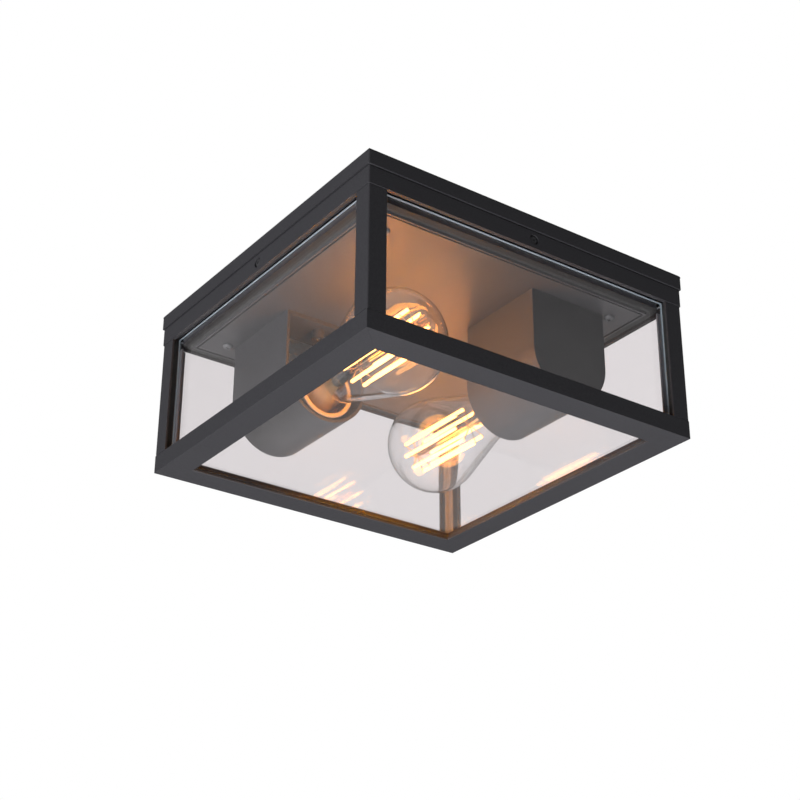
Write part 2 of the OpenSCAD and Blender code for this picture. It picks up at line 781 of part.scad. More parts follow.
module bottom_seal() {
  width = lip_w - 1;
  color(seal_black) between(bed_floor, bed_floor + bed_t) difference() {
    square(2 * bottom_pane_half, center = true);
    square(2 * (bottom_pane_half - width), center = true);
  }
}

// Two strips per side, between the posts' outer lips and the pane
module pane_seals() {
  b = post_set + post_lip_t;
  color(seal_black) for (end = [0, 1]) mirror([end, 0, 0])
    translate([post_core - cage_half, b - cage_half, bar_top]) cube([strip_w, pane_inset - b, window_h]);
}

module side_screw() {
  color(seal_black) translate([0, -cage_half, side_screw_z]) rotate([-90, 0, 0]) {
    translate([0, 0, side_sink - side_head_h]) {
      cylinder(r = side_head_r, h = side_head_h);
      cylinder(r = side_screw_r, h = pane_back_b + skirt_gap - pinch_gap - side_sink + side_head_h);
    }
  }
}

// ---------- the nodes ----------

ceiling_pan();
ceiling_gasket();
cable_grommet();
inner_skirt();
cover_plate();
plate_screws();
lamp_cup();  // lamp_cup_left
rotate([0, 0, 180]) lamp_cup();  // lamp_cup_right
cup_screws();
lampholder();  // lampholder_left
rotate([0, 0, 180]) lampholder();  // lampholder_right
holder_sleeve();  // holder_sleeve_left
rotate([0, 0, 180]) holder_sleeve();  // holder_sleeve_right
holder_contact();  // holder_contact_left
rotate([0, 0, 180]) holder_contact();  // holder_contact_right
holder_bracket();  // holder_bracket_left
rotate([0, 0, 180]) holder_bracket();  // holder_bracket_right
holder_screws();
terminal_block();
terminal_screws();
earth_screw();
lamp_leads([-1, 0]);  // lamp_leads_left
rotate([0, 0, 180]) lamp_leads([0, 1]);  // lamp_leads_right
earth_lead();
bulb_glass();  // bulb_glass_left
rotate([0, 0, 180]) bulb_glass();  // bulb_glass_right
bulb_cap();  // bulb_cap_left
rotate([0, 0, 180]) bulb_cap();  // bulb_cap_right
bulb_tip();  // bulb_tip_left
rotate([0, 0, 180]) bulb_tip();  // bulb_tip_right
bulb_stem();  // bulb_stem_left
rotate([0, 0, 180]) bulb_stem();  // bulb_stem_right
filaments();  // filaments_left
rotate([0, 0, 180]) filaments();  // filaments_right
top_rail();
rail_seal();
at_side("front") post();  // post_front_left
at_side("right") post();  // post_front_right
at_side("back") post();  // post_back_right
at_side("left") post();  // post_back_left
at_side("front") bar();  // bar_front
at_side("right") bar();  // bar_right
at_side("back") bar();  // bar_back
at_side("left") bar();  // bar_left
at_side("front") side_pane();  // pane_front
at_side("right") side_pane();  // pane_right
at_side("back") side_pane();  // pane_back
at_side("left") side_pane();  // pane_left
pane_bottom();
bottom_seal();
at_side("front") pane_seals();  // pane_seals_front
at_side("right") pane_seals();  // pane_seals_right
at_side("back") pane_seals();  // pane_seals_back
at_side("left") pane_seals();  // pane_seals_left
at_side("front") side_screw();  // side_screw_front
at_side("right") side_screw();  // side_screw_right
at_side("back") side_screw();  // side_screw_back
at_side("left") side_screw();  // side_screw_left
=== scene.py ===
from math import acos, atan2, cos, pi, radians, sin, tau

import bpy
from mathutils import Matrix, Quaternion, Vector


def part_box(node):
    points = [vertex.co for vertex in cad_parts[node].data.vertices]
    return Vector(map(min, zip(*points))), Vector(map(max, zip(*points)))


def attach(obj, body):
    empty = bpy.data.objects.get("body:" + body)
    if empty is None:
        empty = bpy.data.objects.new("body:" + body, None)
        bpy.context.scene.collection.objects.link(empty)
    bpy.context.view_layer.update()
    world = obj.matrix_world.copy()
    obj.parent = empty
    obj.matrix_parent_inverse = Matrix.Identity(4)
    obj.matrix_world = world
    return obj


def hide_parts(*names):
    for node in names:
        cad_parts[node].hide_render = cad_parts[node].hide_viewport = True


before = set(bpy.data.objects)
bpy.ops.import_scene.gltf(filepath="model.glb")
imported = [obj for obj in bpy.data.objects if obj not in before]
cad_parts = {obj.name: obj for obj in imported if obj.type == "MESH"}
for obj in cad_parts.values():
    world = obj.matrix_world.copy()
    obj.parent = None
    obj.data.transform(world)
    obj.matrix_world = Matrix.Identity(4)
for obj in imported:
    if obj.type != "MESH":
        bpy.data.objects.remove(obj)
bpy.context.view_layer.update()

MM = 0.001
SIDES = ("front", "right", "back", "left")
CORNERS = ("front_left", "front_right", "back_right", "back_left")
BOTH = ("left", "right")


# ---------- materials ----------

def linear(hex_colour):
    """The linear colour that a shader needs for an sRGB hex value."""
    parts = [int(hex_colour[i:i + 2], 16) / 255 for i in (1, 3, 5)]
    return [c / 12.92 if c <= 0.04045 else ((c + 0.055) / 1.055) ** 2.4 for c in parts] + [1.0]


def add_node(tree, kind, sockets=(), **settings):
    """Adds a shader node, sets what it is told to and links every socket that is given another's output."""
    node = tree.nodes.new("ShaderNode" + kind)
    for name, value in settings.items():
        setattr(node, name, value)
    for socket, value in dict(sockets).items():
        if isinstance(value, bpy.types.NodeSocket):
            tree.links.new(value, node.inputs[socket])
        else:
            node.inputs[socket].default_value = value
    return node


def new_material(name):
    material = bpy.data.materials.new(name)
    material.use_nodes = True
    material.node_tree.nodes.clear()
    return material, material.node_tree


def grit_bump(tree, size, depth, strength):
    """A fine bump on the object's own coordinates: size and depth in metres."""
    place = add_node(tree, "TexCoord").outputs["Object"]
    grit = add_node(tree, "TexNoise", {"Vector": place, "Scale": 1 / size, "Detail": 3.0, "Roughness": 0.6})
    bump = add_node(tree, "Bump", {"Height": grit.outputs["Fac"], "Strength": strength, "Distance": depth})
    return grit, bump


def powder_coat(name, dark, light, rough, gloss, grit_size, grit_depth):
    """Fine-texture polyester powder, sprayed and baked on aluminium: satin, with a grit that breaks up its
    gloss and a slow drift in sheen where the film is thicker."""
    material, tree = new_material(name)
    grit, bump = grit_bump(tree, grit_size, grit_depth, 0.3)
    place = add_node(tree, "TexCoord").outputs["Object"]
    drift = add_node(tree, "TexNoise", {"Vector": place, "Scale": 1 / (45 * MM), "Detail": 2.0})
    tone = add_node(tree, "MapRange", {"Value": grit.outputs["Fac"], "From Min": 0.3, "From Max": 0.7})
    colour = add_node(tree, "Mix", {0: tone.outputs[0], 6: linear(dark), 7: linear(light)}, data_type="RGBA")
    sheen = add_node(tree, "MapRange", {"Value": drift.outputs["Fac"], "From Min": 0.3, "From Max": 0.7,
                                        "To Min": rough - 0.05, "To Max": rough + 0.06})
    coat = add_node(tree, "BsdfPrincipled", {
        "Base Color": colour.outputs[2], "Roughness": sheen.outputs[0], "Specular IOR Level": gloss,
        "Normal": bump.outputs[0]})
    add_node(tree, "OutputMaterial", {"Surface": coat.outputs[0]})
    return material


def clear_glass(name, tint, ior, waviness):
    """Clear glass that the lamps' light passes without a caustic, so it neither darkens nor speckles what
    it covers. Its waviness is a few thousandths of a millimetre, as drawn or blown sheet has."""
    material, tree = new_material(name)
    glass = add_node(tree, "BsdfPrincipled", {
        "Base Color": linear(tint), "Roughness": 0.0, "IOR": ior, "Transmission Weight": 1.0})
    if waviness:
        place = add_node(tree, "TexCoord").outputs["Object"]
        wave = add_node(tree, "TexNoise", {"Vector": place, "Scale": 1 / (16 * MM), "Detail": 0.0})
        bump = add_node(tree, "Bump", {"Height": wave.outputs["Fac"], "Strength": 1.0, "Distance": waviness})
        tree.links.new(bump.outputs[0], glass.inputs["Normal"])
    passing = add_node(tree, "BsdfTransparent", {"Color": linear("#F6F7F7")})
    ray = add_node(tree, "LightPath")
    unseen = add_node(tree, "Math", {0: ray.outputs["Is Shadow Ray"], 1: ray.outputs["Is Diffuse Ray"]},
                      operation="MAXIMUM")
    mixed = add_node(tree, "MixShader", {0: unseen.outputs[0], 1: glass.outputs[0], 2: passing.outputs[0]})
    add_node(tree, "OutputMaterial", {"Surface": mixed.outputs[0]})
    return material


def plain_finish(name, base, other, rough, metallic, grain, depth, more=()):
    """A finish with a fine mottle between two near colours and a bump of the same grain. What it has more is
    set on the shader directly."""
    material, tree = new_material(name)
    mottle, bump = grit_bump(tree, grain, depth, 0.4)
    colour = add_node(tree, "Mix", {0: mottle.outputs["Fac"], 6: linear(base), 7: linear(other)},
                      data_type="RGBA")
    wear = add_node(tree, "MapRange", {"Value": mottle.outputs["Fac"], "To Min": rough - 0.06,
                                       "To Max": rough + 0.06})
    sockets = {"Base Color": colour.outputs[2], "Roughness": wear.outputs[0], "Metallic": metallic,
               "Normal": bump.outputs[0]}
    sockets.update(dict(more))
    skin = add_node(tree, "BsdfPrincipled", sockets)
    add_node(tree, "OutputMaterial", {"Surface": skin.outputs[0]})
    return material


# Outer metalwork: black powder coat on extruded and pressed aluminium, with a grit of about 1 mm
frame_coat = powder_coat("black_powder_coat", "#27262A", "#303033", 0.50, 0.25, 0.9 * MM, 0.03 * MM)
# Inner metalwork: the same powder on pressed steel, smoother, so it shows the bulbs' warmth as a soft sheen
inner_coat = powder_coat("inner_powder_coat", "#333235", "#373639", 0.38, 0.42, 2.0 * MM, 0.006 * MM)
# Near black, dull and dark: painted shade on the skirt flange's underside, which lies in shade behind the rail
flange_painted_shade = plain_finish("flange_painted_shade", "#131314", "#1A1A1B", 0.75, 0.0, 0.8 * MM, 0.01 * MM)
# Float glass, 3 mm: nearly colourless, dead flat
float_glass = clear_glass("float_glass", "#F8F5F6", 1.5, 0.0)
# Its cut edges are ground: pale, bluish and frosted
ground_edge = plain_finish("ground_glass_edge", "#75828D", "#8B98A2", 0.38, 0.0, 0.7 * MM, 0.02 * MM,
                           more={"IOR": 1.5, "Transmission Weight": 0.35})
# Blown soda-lime glass of the bulbs: thin, faintly uneven
blown_glass = clear_glass("blown_bulb_glass", "#FFFFFF", 1.5, 0.02 * MM)
# The stem's glass is smoked amber by the heat of its press
stem_glass = clear_glass("amber_stem_glass", "#F1DDBB", 1.5, 0.02 * MM)
# The stem's flare, where the heat of sealing left it brown and half clear
press_flare = plain_finish("sealed_flare_glass", "#7A6C4E", "#94835E", 0.24, 0.0, 1.4 * MM, 0.03 * MM,
                           more={"IOR": 1.5, "Transmission Weight": 0.4})
# EPDM rubber: dull black, with the drag marks of extrusion
epdm_rubber = plain_finish("epdm_rubber", "#0B0B0C", "#131314", 0.72, 0.0, 1.2 * MM, 0.03 * MM)
# Zinc-plated steel: cool grey metal, brushed soft by tumbling
zinc_plate = plain_finish("zinc_plated_steel", "#A9AAAC", "#C2C3C4", 0.38, 1.0, 0.8 * MM, 0.01 * MM)
# Dull zinc of the cover plate's screws, greyed by its passivation
dull_zinc = plain_finish("dull_zinc_steel", "#4C4C4F", "#5A5A5D", 0.62, 0.2, 0.8 * MM, 0.01 * MM)
# Black oxide on stainless screws: near black, with a soft glint on its edges
black_oxide = plain_finish("black_oxide_steel", "#2A2A2C", "#3A3A3D", 0.38, 0.2, 0.6 * MM, 0.01 * MM)
# A lighter grey on the posts' inner lips behind the panes: painted light, for the light they catch there;
# satin, lighter than the coat
lip_painted_light = plain_finish("post_lip_painted_light", "#5C5B60", "#67666B", 0.42, 0.0, 1.5 * MM, 0.004 * MM)
# Dark brown on the inner wall of the lampholders' collars: painted shade, for the shade inside each collar
collar_painted_shade = plain_finish("collar_painted_shade", "#2C1D15", "#38261C", 0.45, 0.0, 1.5 * MM, 0.01 * MM)
# Drawn brass of the caps, sleeves and contacts: warm, a little dulled
drawn_brass = plain_finish("drawn_brass", "#8E6A34", "#A57F44", 0.36, 1.0, 1.5 * MM, 0.01 * MM)
# Glazed porcelain of the lampholders, painted a warm grey instead of its cream white: painted shade and the
# bulbs' warm light; glossy over a fine unevenness
porcelain_painted_warm_shade = plain_finish("porcelain_painted_warm_shade", "#8F8478", "#9C9186", 0.26, 0.0, 5 * MM, 0.02 * MM,
                                more={"Coat Weight": 0.5, "Coat Roughness": 0.08})
# Black glass of a cap's insulator
cap_insulator = plain_finish("vitrite_insulator", "#0E0D10", "#17151A", 0.18, 0.0, 2 * MM, 0.01 * MM)
# Silicone sleeves of the leads
brown_silicone = plain_finish("brown_silicone", "#5A2C1A", "#68351F", 0.55, 0.0, 1 * MM, 0.01 * MM)
earth_silicone = plain_finish("green_yellow_silicone", "#5C7A1E", "#8E9A22", 0.55, 0.0, 3 * MM, 0.01 * MM)
# Phosphor coat of a lit filament rod: amber silicone, white-hot to the eye when on
lit_phosphor = plain_finish("lit_phosphor", "#F2B24A", "#F7C468", 0.5, 0.0, 0.6 * MM, 0.01 * MM,
                            more={"Emission Color": [1.0, 0.47, 0.115, 1.0], "Emission Strength": 7.5})
# Nickel support wires
nickel_wire = plain_finish("nickel_wire", "#B9B2A4", "#CFC8BA", 0.25, 1.0, 0.5 * MM, 0.005 * MM)


# ---------- modelling by hand ----------

def deselect():
    bpy.ops.object.select_all(action="DESELECT")


def pick(obj):
    deselect()
    obj.select_set(True)
    bpy.context.view_layer.objects.active = obj


def editing(obj, mode="VERT"):
    pick(obj)
    bpy.ops.object.mode_set(mode="EDIT")
    bpy.ops.mesh.select_mode(type=mode)
    bpy.ops.mesh.select_all(action="SELECT")


def done_editing():
    bpy.ops.object.mode_set(mode="OBJECT")


def fixed_in_place(obj):
    """Leaves the object at the origin, unturned, with its place in its mesh."""
    pick(obj)
    bpy.ops.object.transform_apply(location=True, rotation=True, scale=True)


def add_modifier(obj, kind, **settings):
    """Adds a modifier and applies it."""
    pick(obj)
    modifier = obj.modifiers.new(kind, kind)
    for name, value in settings.items():
        setattr(modifier, name, value)
    bpy.ops.object.modifier_apply(modifier=modifier.name)


def smooth(obj, angle=35):
    pick(obj)
    bpy.ops.object.shade_smooth_by_angle(angle=radians(angle))


def named(obj, name, material):
    obj.name = obj.data.name = name
    obj.data.materials.clear()
    obj.data.materials.append(material)
    return obj


def stands_for(obj, body, slot, *nodes):
    """The piece rides on a body and stands for its CAD nodes, which it hides. Its slot is not used."""
    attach(obj, body)
    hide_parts(*nodes)
    return obj


def copied(obj, name, turn=0.0, shift=(0.0, 0.0, 0.0)):
    """A copy with its own mesh, turned about Z through the origin and then shifted."""
    pick(obj)
    bpy.ops.object.duplicate()
    copy = bpy.context.object
    copy.rotation_euler[2] = turn
    copy.location = shift
    fixed_in_place(copy)
    copy.name = copy.data.name = name
    return copy


def joined(name, parts):
    deselect()
    for part in parts:
        part.select_set(True)
    bpy.context.view_layer.objects.active = parts[0]
    bpy.ops.object.join()
    parts[0].name = parts[0].data.name = name
    return parts[0]


def turned(name, outline, material, steps=96):
    """Draws an outline of (radius, height) in metres and spins it about Z, as a lathe would."""
    bpy.ops.mesh.primitive_plane_add(size=MM)
    obj = bpy.context.object
    editing(obj)
    bpy.ops.mesh.merge(type="CENTER")
    last = Vector((0.0, 0.0, 0.0))
    for i, (radius, height) in enumerate(outline):
        step = Vector((radius, 0.0, height)) - last
        if i == 0:
            bpy.ops.transform.translate(value=step)
        else:
            bpy.ops.mesh.extrude_region_move(TRANSFORM_OT_translate={"value": step})
        last = Vector((radius, 0.0, height))
    bpy.ops.mesh.select_all(action="SELECT")
    bpy.ops.mesh.spin(steps=steps, angle=tau, center=(0, 0, 0), axis=(0, 0, 1))
    bpy.ops.mesh.select_all(action="SELECT")
    bpy.ops.mesh.remove_doubles(threshold=0.002 * MM)
    bpy.ops.mesh.normals_make_consistent(inside=False)
    done_editing()
    smooth(obj)
    return named(obj, name, material)


def chosen(obj, kind, test):
    """Opens the object for editing with only those vertices, edges or faces selected that pass a test."""
    editing(obj, kind)
    bpy.ops.mesh.select_all(action="DESELECT")
    done_editing()
    items = {"VERT": obj.data.vertices, "EDGE": obj.data.edges, "FACE": obj.data.polygons}[kind]
    for item in items:
        item.select = test(item)
    bpy.ops.object.mode_set(mode="EDIT")


def block(low, high):
    """A block between two corners given in millimetres."""
    low, high = Vector(low) * MM, Vector(high) * MM
    bpy.ops.mesh.primitive_cube_add(size=1, location=(low + high) / 2, scale=high - low)
    fixed_in_place(bpy.context.object)
    return bpy.context.object


def square_block(half, bottom, top):
    return block((-half, -half, bottom), (half, half, top))


def drill(radius, start, end):
    """A round bar between two points given in millimetres, to cut with."""
    start, end = Vector(start) * MM, Vector(end) * MM
    way = end - start
    bpy.ops.mesh.primitive_cylinder_add(vertices=48, radius=radius * MM, depth=way.length,
                                        location=(start + end) / 2,
                                        rotation=way.to_track_quat("Z", "Y").to_euler())
    fixed_in_place(bpy.context.object)
    return bpy.context.object


def cut_away(obj, *tools):
    for tool in tools:
        add_modifier(obj, "BOOLEAN", operation="DIFFERENCE", object=tool, solver="EXACT")
        bpy.data.objects.remove(tool)
    return obj


def round_corners(obj, radius, segments=5):
    """Rounds the four upright edges of a square block."""
    points = obj.data.vertices
    chosen(obj, "EDGE", lambda e: abs(points[e.vertices[0]].co.z - points[e.vertices[1]].co.z) > 1 * MM
           and (points[e.vertices[0]].co.xy - points[e.vertices[1]].co.xy).length < 0.01 * MM)
    bpy.ops.mesh.bevel(offset=radius * MM, segments=segments, affect="EDGES")
    done_editing()
    return obj


def eased(obj, width, segments=2):
    """Eases the sharp edges, as the coat rounds them."""
    add_modifier(obj, "BEVEL", width=width, segments=segments, limit_method="ANGLE", angle_limit=radians(50),
                 use_clamp_overlap=True)
    smooth(obj, 30)
    add_modifier(obj, "WEIGHTED_NORMAL", keep_sharp=True)
    return obj


def softened(node, body, slot, material, width, moves=()):
    """A copy of a CAD node's mesh, merged, with the vertices that pass each test moved by that many
    millimetres, and with its sharp edges eased."""
    obj = bpy.data.objects.new(node + "_eased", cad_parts[node].data.copy())
    bpy.context.scene.collection.objects.link(obj)
    editing(obj)
    bpy.ops.mesh.remove_doubles(threshold=0.005 * MM)
    bpy.ops.mesh.dissolve_limited(angle_limit=radians(0.5))
    done_editing()
    for test, by in moves:
        chosen(obj, "VERT", lambda v: test(v.co / MM))
        bpy.ops.transform.translate(value=Vector(by) * MM)
        done_editing()
    if width:
        eased(obj, width)
    named(obj, node + "_eased", material)
    return stands_for(obj, body, slot, node)


def arc(centre_r, centre_z, radius, start, end, count):
    """Points of an arc as (radius, height), angles in degrees from the radial direction."""
    return [(centre_r + radius * cos(radians(start + (end - start) * i / count)),
             centre_z + radius * sin(radians(start + (end - start) * i / count))) for i in range(count + 1)]


# ---------- sizes in millimetres, where the photograph asks for finer ones than the CAD ----------

# Half widths and heights
PAN_HALF, PAN_BOTTOM = 121.4, -11.3
RAIL_HALF, RAIL_INNER, RAIL_TOP, RAIL_BOTTOM = 120.5, 114.6, -11.9, -23.6
BAR_TOP = -103.8
PANE_TOP = -21.6
SKIRT_HALF, SKIRT_BOTTOM, HEM_HALF, HEM_BOTTOM = 110.8, -26.0, 103.0, -28.0
PLATE_HALF, PLATE_BOTTOM = 101.7, -27.8
# Room cut in the rail's lower edge for the panes' tops: half its length, how far out, how far in and how high
NOTCH_RUN, NOTCH_OUTER, NOTCH_INNER, NOTCH_H = 110.4, 118, 113, 2.4
# Sheet of the pan and of the skirt, and the gasket's groove in the pan's roof
PAN_SHEET, SKIRT_SHEET = 2, 1.6
GROOVE_OUTER, GROOVE_INNER = 115.8, 109.8
# The posts' inner lips, which take the lighter grey of painted light
LIP_HALF, LIP_BOTTOM = 111.3, -106.9
# Where the screws sit: the cover plate's in both ways, a side screw's seat and height
PLATE_SCREW_X = 87.5
SIDE_SEAT, SIDE_SCREW_Z = 118.8, -17.5
# Fixing slots in the pan's roof: half their spacing, half their straight length and half their width
SLOT_X, SLOT_RUN, SLOT_R = 60, 4.25, 2.75
# What the CAD has for the same edges, from which vertices are moved
CAD_PAN_BOTTOM, CAD_RAIL_TOP, CAD_POST_TOP, CAD_BAR_TOP = -10.3, -11.3, -22.8, -104.8
CAD_PLATE_HALF, CAD_PLATE_BOTTOM, CAD_PLATE_SCREW_X = 103.2, -28.7, 90


def outwards(low, high, by, below=1.0):
    """Moves on each of the four sides, for vertices low to high from the middle and below a height."""
    moves = []
    for axis in (0, 1):
        for sign in (1, -1):
            shift = [0.0, 0.0, 0.0]
            shift[axis] = sign * by
            moves.append((lambda v, axis=axis, sign=sign: low < v[axis] * sign < high and v.z < below, shift))
    return moves


# ---------- the outer metalwork ----------

# Ceiling pan: a tray whose roof folds over into the rim, with mitred folds at its welded corners
pan = square_block(PAN_HALF, PAN_BOTTOM, 0)
chosen(pan, "EDGE", lambda edge: all(pan.data.vertices[i].co.z > -0.1 * MM for i in edge.vertices))
bpy.ops.mesh.bevel(offset=3 * MM, segments=6, affect="EDGES")
done_editing()
round_corners(pan, 1.2, 3)
room = square_block(PAN_HALF - PAN_SHEET, PAN_BOTTOM + PAN_SHEET, -PAN_SHEET)
mouth = square_block(SKIRT_HALF + 0.3, PAN_BOTTOM - 1, PAN_BOTTOM + 3)
groove = cut_away(square_block(GROOVE_OUTER, -1, 1), square_block(GROOVE_INNER, -2, 2))
grommet_hole = drill(7, (0, 38, -3), (0, 38, 1))
earth_hole = drill(1.6, (32, 0, -3), (32, 0, 1))
cut_away(pan, room, mouth, groove, grommet_hole, earth_hole)
for x in (-SLOT_X, SLOT_X):
    cut_away(pan, block((x - SLOT_RUN, -SLOT_R, -3), (x + SLOT_RUN, SLOT_R, 1)),
             *[drill(SLOT_R, (end, 0, -3), (end, 0, 1)) for end in (x - SLOT_RUN, x + SLOT_RUN)])
eased(pan, 0.25 * MM)
# Four pillars under its roof take the cover plate's screws
pillars = []
for x in (-PLATE_SCREW_X, PLATE_SCREW_X):
    for y in (-PLATE_SCREW_X, PLATE_SCREW_X):
        pillar = turned("pillar", [(1.6 * MM, -26.2 * MM), (4.3 * MM, -26.2 * MM), (4.5 * MM, -26.0 * MM),
                                   (4.5 * MM, -2.0 * MM), (1.6 * MM, -2.0 * MM), (1.6 * MM, -26.2 * MM)],
                        frame_coat, 32)
        pillar.location = (x * MM, y * MM, 0)
        fixed_in_place(pillar)
        pillars.append(pillar)
stands_for(named(joined("ceiling_pan_folded", [pan, *pillars]), "ceiling_pan_folded", frame_coat), "pan",
           "black_coat", "ceiling_pan")

# Top rail, thinned along its lower edge to make room for the panes' tops, with a counterbore mid-way
# along each side
rail = cut_away(round_corners(square_block(RAIL_HALF, RAIL_BOTTOM, RAIL_TOP), 1.0, 3),
                square_block(RAIL_INNER, RAIL_BOTTOM - 1, RAIL_TOP + 1))
for i in range(4):
    turn = Quaternion((0, 0, 1), i * pi / 2)
    notch = block((-NOTCH_RUN, -NOTCH_OUTER, RAIL_BOTTOM - 1), (NOTCH_RUN, -NOTCH_INNER, RAIL_BOTTOM + NOTCH_H))
    notch.rotation_euler[2] = i * pi / 2
    fixed_in_place(notch)
    outside, face, seat, inside = (turn @ Vector((0, -y, SIDE_SCREW_Z))
                                   for y in (RAIL_HALF + 1, RAIL_HALF, SIDE_SEAT, NOTCH_INNER))
    cut_away(rail, notch, drill(3.2, outside, seat), drill(1.55, face, inside))
eased(rail, 0.2 * MM)
stands_for(named(rail, "top_rail_lipped", frame_coat), "cage", "black_coat", "top_rail")

# The posts stand flush with the bars
FLUSH = [*outwards(117.9, 125, 0.5), (lambda v: v.z > -22.9, (0, 0, RAIL_BOTTOM - CAD_POST_TOP)),
         (lambda v: abs(v.z - CAD_BAR_TOP) < 0.1, (0, 0, BAR_TOP - CAD_BAR_TOP))]
# The bars' lower edges are nearly sharp
SHARPER = [(lambda v: v.z < -115.5 and max(abs(v.x), abs(v.y)) > 119.9, (0, 0, -0.3)),
           *outwards(119.5, 119.7, 0.3, below=-115.95)]
# The glazing strips are thin, so that a dark slot stays between each post's lip and its pane
THINNER = outwards(107, 108.5, 1.8)
for corner in CORNERS:
    post = softened("post_" + corner, "cage", "black_coat", frame_coat, 0.2 * MM, FLUSH)
    # The inner lips take the lighter grey as painted light
    post.data.materials.append(lip_painted_light)
    for face in post.data.polygons:
        middle = face.center / MM
        within_lip = max(abs(middle.x), abs(middle.y)) < LIP_HALF
        face.material_index = int(within_lip and middle.z > LIP_BOTTOM)
for side in SIDES:
    softened("pane_seals_" + side, "cage", "seal_rubber", epdm_rubber, 0, FLUSH + THINNER)
    softened("bar_" + side, "cage", "black_coat", frame_coat, 0.12 * MM,
             [(lambda v: v.z > -105.5, (0, 0, BAR_TOP - CAD_BAR_TOP)), *SHARPER])
softened("rail_seal", "cage", "seal_rubber", epdm_rubber, 0,
         [(lambda v: v.z < -11, (0, 0, RAIL_TOP - CAD_RAIL_TOP)),
          (lambda v: v.z > -11, (0, 0, PAN_BOTTOM - CAD_PAN_BOTTOM))])

# ---------- the inner metalwork ----------

# Skirt: its lower edge folds inwards to a flange, whose hem turns down round the cover plate
skirt_sheet = cut_away(
    round_corners(square_block(SKIRT_HALF, HEM_BOTTOM, -PAN_SHEET), 6),
    round_corners(square_block(SKIRT_HALF - SKIRT_SHEET, SKIRT_BOTTOM + SKIRT_SHEET, 1), 6 - SKIRT_SHEET),
    cut_away(square_block(SKIRT_HALF + 2, HEM_BOTTOM - 1, SKIRT_BOTTOM),
             square_block(HEM_HALF + 1.2, HEM_BOTTOM - 2, SKIRT_BOTTOM + 1)),
    square_block(HEM_HALF, HEM_BOTTOM - 1, 0))
eased(skirt_sheet, 0.25 * MM)
stands_for(named(skirt_sheet, "inner_skirt_hemmed", inner_coat), "pan", "black_coat", "inner_skirt")
# The flange's underside takes the near black as painted shade
skirt_sheet.data.materials.append(flange_painted_shade)
for face in skirt_sheet.data.polygons:
    if face.normal.z < -0.9 and abs(face.center.z - SKIRT_BOTTOM * MM) < 0.3 * MM:
        face.material_index = 1

LIFT = PLATE_BOTTOM - CAD_PLATE_BOTTOM
plate_moves = outwards(102, 125, PLATE_HALF - CAD_PLATE_HALF)
for sx, sy in ((-1, -1), (1, -1), (1, 1), (-1, 1)):
    shift = PLATE_SCREW_X - CAD_PLATE_SCREW_X
    plate_moves.append((lambda v, sx=sx, sy=sy: 87 < v.x * sx < 93 and 87 < v.y * sy < 93,
                        (shift * sx, shift * sy, 0)))
plate_moves.append((lambda v: True, (0, 0, LIFT)))
softened("cover_plate", "pan", "black_coat", inner_coat, 0.25 * MM, plate_moves)
for side in BOTH:
    softened("lamp_cup_" + side, "pan", "cup_coat", inner_coat, 0.4 * MM,
             [(lambda v: v.z > -28.8, (0, 0, LIFT))])
softened("cup_screws", "pan", "steel_zinc", zinc_plate, 0.2 * MM, [(lambda v: True, (0, 0, LIFT))])

# ---------- panes ----------

def pane(node, thin):
    """A cut pane: its arrises are ground off, and only its two faces are clear."""
    low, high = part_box(node)
    if thin != 2:
        high.z = PANE_TOP * MM
    bpy.ops.mesh.primitive_cube_add(size=1, location=(low + high) / 2, scale=high - low)
    obj = bpy.context.object
    fixed_in_place(obj)
    editing(obj, "EDGE")
    bpy.ops.mesh.bevel(offset=0.4 * MM, segments=1, affect="EDGES")
    done_editing()
    named(obj, node + "_cut", float_glass)
    obj.data.materials.append(ground_edge)
    for face in obj.data.polygons:
        face.material_index = 0 if abs(face.normal[thin]) > 0.99 else 1
    return stands_for(obj, "cage", "clear_glass", node)


pane("pane_front", 1)
pane("pane_back", 1)
pane("pane_left", 0)
pane("pane_right", 0)
pane("pane_bottom", 2)

# ---------- screws ----------

def cross_recess(obj, reach, width, depth, top):
    """Cuts a tapered cross into a screw head whose top is at height top and faces +Z."""
    arms = []
    for turn in (0.0, pi / 2):
        bpy.ops.mesh.primitive_cube_add(size=1, location=(0, 0, top), scale=(2 * reach, width, 2 * depth))
        arm = bpy.context.object
        fixed_in_place(arm)
        chosen(arm, "FACE", lambda face: face.normal.z < -0.9)
        bpy.ops.transform.resize(value=(0.45, 0.7, 1.0))
        done_editing()
        arm.rotation_euler[2] = turn
        fixed_in_place(arm)
        arms.append(arm)
    cut_away(obj, *arms)
    smooth(obj, 30)


def pan_head_screw(name, head_r, head_h, shank_r, shank_len, material):
    """A domed pan head on its seat at z = 0, facing +Z, with a cross recess, over a plain shank."""
    dome = head_h * 0.55
    outline = [(0.0, head_h), (head_r * 0.35, head_h - dome * 0.05), (head_r * 0.65, head_h - dome * 0.22),
               (head_r * 0.86, head_h - dome * 0.52), (head_r * 0.97, head_h - dome), (head_r, head_h * 0.25),
               (head_r, 0.12 * MM), (head_r - 0.12 * MM, 0.0), (shank_r, 0.0), (shank_r, -shank_len + 0.4 * MM),
               (shank_r - 0.4 * MM, -shank_len), (0.0, -shank_len)]
    obj = turned(name, outline, material, 48)
    cross_recess(obj, head_r * 0.58, head_r * 0.28, head_h * 0.5, head_h)
    return obj


# The side screws lie in the rail's counterbores with their heads outwards
low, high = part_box("side_screw_front")
side_head_r = (high.x - low.x) / 2
side_screw = pan_head_screw("side_screw_front_cross", side_head_r, 1.4 * MM, 1.5 * MM,
                            high.y - low.y - 1.4 * MM, black_oxide)
side_screw.rotation_euler[0] = pi / 2
side_screw.location = (0, -SIDE_SEAT * MM, SIDE_SCREW_Z * MM)
fixed_in_place(side_screw)
for i, side in enumerate(SIDES):
    screw = copied(side_screw, "side_screw_" + side + "_cross", i * pi / 2) if i else side_screw
    stands_for(screw, "side_screw_" + side, "black_screw", "side_screw_" + side)

